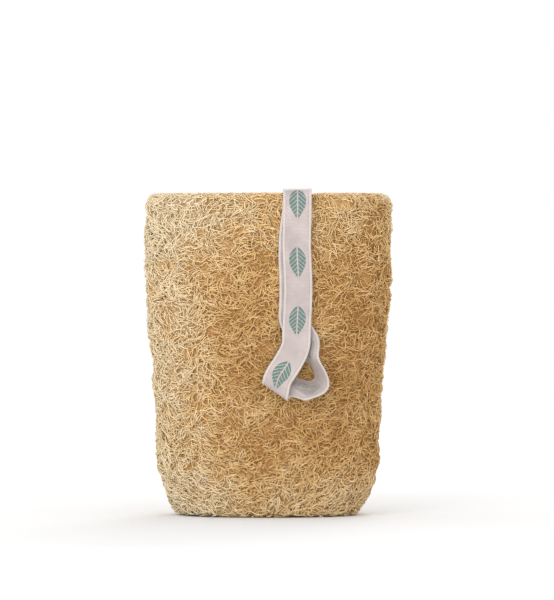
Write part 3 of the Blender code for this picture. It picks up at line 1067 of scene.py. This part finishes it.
def tapeMaterial(name, look):
    material, tree, shader = newMaterial(name)
    place = addNode(tree, "ShaderNodeUVMap", uv_map="tapeCloth").outputs[0]
    weave = addNode(tree, "ShaderNodeGroup", {"Cloth": place, "Ribs per cm": cloth["ribsPerCm"]},
                    node_tree=clothWeave)
    motif = addNode(tree, "ShaderNodeGroup", {"Cloth": place, "Spacing": tape["motifSpacing"] * cmPerMetre,
                    "Length": leaf["length"], "Half width": leaf["halfWidth"]}, node_tree=wovenLeaf)
    blade = motif.outputs["Blade"]
    across = calc(tree, "ABSOLUTE", addNode(tree, "ShaderNodeSeparateXYZ", {0: place}).outputs[0])
    selvedge = fade(tree, across, *cloth["selvedgeSpan"])
    groove = calc(tree, "ABSOLUTE", calc(tree, "SUBTRACT", across, cloth["grooveAt"]))
    groove = fade(tree, groove, 0.0, cloth["grooveWidth"], 1.0, 0.0)
    # painted shade: soft blotches between the light and the shade colour stand in for the shading of soft
    # folds
    foldShade = noise(tree, place, cloth["foldShadeScale"], cloth["foldShadeDetail"]).outputs[0]
    colour = mixColours(tree, foldShade, look["shade"], look["light"])
    # partly painted highlight: both edges are painted paler for the edges catching light, as well as for
    # the selvedge's own paler weave
    edge = times(tree, selvedge, cloth["selvedgeAndHighlightShare"])
    colour = mixColours(tree, edge, colour, look["edge"])
    colour = mixColours(tree, times(tree, blade, look["motif"]), colour, look["leaf"])
    # painted shade: the gaps between the threads and the groove inside the selvedge are painted darker
    weaveAndGrooveShade = times(tree, weave.outputs["Gaps"], cloth["gapShade"])
    grooveShading = times(tree, groove, cloth["grooveShade"])
    weaveAndGrooveShade = calc(tree, "ADD", weaveAndGrooveShade, grooveShading, clamp=True)
    colour = mixColours(tree, weaveAndGrooveShade, colour, look["gap"], "MULTIPLY")
    height = times(tree, blade, cloth["leafRise"])
    height = calc(tree, "ADD", weave.outputs["Height"], height)
    finishMaterial(tree, shader, cloth, colour, calc(tree, "SUBTRACT", height, groove))
    return material


# Outer side of the strip, and its inner side, where the motif only shows through
tapeFace = dict(light=(0.570, 0.495, 0.468, 1), shade=(0.315, 0.258, 0.248, 1),
                edge=(0.62, 0.555, 0.525, 1), gap=(0.50, 0.42, 0.40, 1),
                leaf=(0.070, 0.155, 0.135, 1), motif=0.94)
tapeBack = dict(tapeFace, motif=0.40)


# Thread that sews both tape ends to the chamber's wall: a zigzag of two plies
thread = {
    "radius": 0.0004,
    "turns": 5,
    "rowWidth": 0.011,
    "rowHeight": 0.005,
    "dip": 0.0007,
    "plyRadius": 0.00022,
    "plyOffset": 0.00018,
    "pitch": 0.0017,
    "spacing": 0.00022,
    "legEnds": (0.16, 0.84),
    "legSteps": 10,
    "light": (0.78, 0.74, 0.69, 1),
    "shade": (0.60, 0.55, 0.50, 1),
    "lintScale": 2600.0,
    "lintDetail": 3.0,
    "bump": 0.5,
    "bumpDepth": 0.00005,
    "Roughness": 0.5,
    "Sheen Weight": 0.2,
}


def threadRoute():
    # legs that lie on the tape's face and dip into it at each end
    turns = 2 * thread["turns"]
    face = chamberFront() + tape["overLift"] + tape["thickness"] / 2
    face += tape["seatGap"] + thread["radius"]
    middleZ = body["height"] - tape["endDepth"] + thread["rowHeight"]
    corners = []
    for k in range(turns + 1):
        x = tape["x"] + (k / turns - 0.5) * thread["rowWidth"]
        corners.append(Vector((x, face, middleZ + thread["rowHeight"] / 2 * (-1) ** k)))
    sunk = Vector((0, -thread["dip"], 0))
    route = [corners[0] + sunk]
    for start, stop in zip(corners, corners[1:]):
        route += [start.lerp(stop, share) for share in thread["legEnds"]] + [stop + sunk]
    points = np.array(splineThrough(route, thread["legSteps"]))
    distance = distanceAlong(points)
    even = np.linspace(0, distance[-1], int(distance[-1] / thread["spacing"]))
    return resample(points, distance, even), even


def makeThread(material):
    points, distance = threadRoute()
    along = np.gradient(points, axis=0)
    along /= np.linalg.norm(along, axis=1)[:, None]
    side = np.cross(along, (0, 1, 0))
    side /= np.linalg.norm(side, axis=1)[:, None]
    out = np.cross(side, along)
    curve = bpy.data.curves.new("tapeStitching", "CURVE")
    curve.dimensions = "3D"
    curve.bevel_depth = thread["plyRadius"]
    curve.bevel_resolution = 1
    curve.use_fill_caps = True
    for start in (0, math.pi):
        turn = (start + 2 * math.pi * distance / thread["pitch"])[:, None]
        addLine(curve, points + (np.cos(turn) * side + np.sin(turn) * out) * thread["plyOffset"])
    mesh = meshOfCurve("tapeStitching", curve)
    closeMesh(mesh)
    return putPiece("tapeStitching", mesh, material)


def threadMaterial():
    material, tree, shader = newMaterial("sewingThread")
    place = addNode(tree, "ShaderNodeTexCoord").outputs["Object"]
    lint = noise(tree, place, thread["lintScale"], thread["lintDetail"]).outputs[0]
    colour = mixColours(tree, lint, thread["shade"], thread["light"])
    finishMaterial(tree, shader, thread, colour, lint)
    return material


# Stage and lights; a lamp is its place, the width of its disk and its power in watts
studio = {
    "floorRadius": 6,
    "floorSides": 96,
    "floorDrop": 0.0001,
    "floorNear": (0.80, 0.80, 0.80, 1),
    "floorFar": (1, 1, 1, 1),
    "floorSpan": (0.25, 1.1),
    "Roughness": 1.0,
    "Specular IOR Level": 0.0,
    "world": (1, 1, 1, 1),
    "aim": (0, 0, 0.08),
    "lamps": {
        "key": ((-0.55, -1.15, 0.50), 0.9, 6.5),
        "fill": ((0.15, -1.40, 0.20), 0.7, 4.5),
        "back": ((0.3, 1.1, 0.7), 0.8, 6),
    },
}


def makeStage():
    bm = bmesh.new()
    bmesh.ops.create_circle(bm, cap_ends=True, segments=studio["floorSides"],
                            radius=studio["floorRadius"])
    mesh = meshFrom(bm, "paleFloor")
    material, tree, shader = newMaterial("paleFloor")
    # paler towards the horizon, where it meets the background
    place = addNode(tree, "ShaderNodeTexCoord").outputs["Object"]
    reach = addNode(tree, "ShaderNodeVectorMath", {0: place}, operation="LENGTH").outputs["Value"]
    far = fade(tree, reach, *studio["floorSpan"])
    colour = mixColours(tree, far, studio["floorNear"], studio["floorFar"])
    finishMaterial(tree, shader, studio, colour)
    floor = putPiece("paleFloor", mesh, material, body=None)
    floor.location.z = -studio["floorDrop"]


def turnTo(item, aim):
    item.rotation_euler = (Vector(aim) - item.location).to_track_quat("-Z", "Y").to_euler()


def makeLights():
    world = bpy.data.worlds.new("studio")
    world.use_nodes = True
    world.node_tree.nodes["Background"].inputs["Color"].default_value = studio["world"]
    scene.world = world
    for name, (place, size, power) in studio["lamps"].items():
        lamp = bpy.data.lights.new(name, "AREA")
        lamp.shape = "DISK"
        lamp.size = size
        lamp.energy = power
        item = putObject(name, lamp)
        item.location = place
        turnTo(item, studio["aim"])


# Camera: the photograph shows 554 by 600 pixels at 0.5 mm a pixel, level with the sponge
camera = {
    "aim": (0.0045, 0, 0.1072),
    "distance": 2.2,
    "elevation": 0.7,  # degrees
    "sensor": 36,
    "view": 0.300,
}


def makeCamera():
    lens = bpy.data.cameras.new("camera")
    lens.sensor_width = camera["sensor"]
    lens.lens = camera["sensor"] * camera["distance"] / camera["view"]
    item = putObject("camera", lens)
    elevation = math.radians(camera["elevation"])
    away = Vector((0, -math.cos(elevation), math.sin(elevation)))
    item.location = Vector(camera["aim"]) + away * camera["distance"]
    turnTo(item, camera["aim"])
    scene.camera = item


print("stage, lights, camera")
makeStage()
makeLights()
makeCamera()

print("fibres")
fibre = fibreMaterial()
grown = {name: growOnSkin(look) for name, look in fibreSets.items()}
grown["fibresCut"] = growOnCuts(cutFibres) + growStubs(cutStubs)
grown["fibresChambers"] = growInChambers(liningFibres)
pieces = []
for name, strands in grown.items():
    mesh = strandMesh(name, strands)
    print(name, len(strands), "strands", len(mesh.loop_triangles), "triangles")
    pieces.append(putPiece(name, mesh, fibre))
print("core")
pieces.append(makeCore(coreMaterial()))
for piece in pieces:
    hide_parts("loofah_sponge")

print("tape")
strip, stripLength = makeTape(tapeMaterial("wovenTapeBack", tapeBack),
                              tapeMaterial("wovenTapeFace", tapeFace))
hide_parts("hanging_tape")

print("thread")
stitching = makeThread(threadMaterial())
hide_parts("tape_stitching")
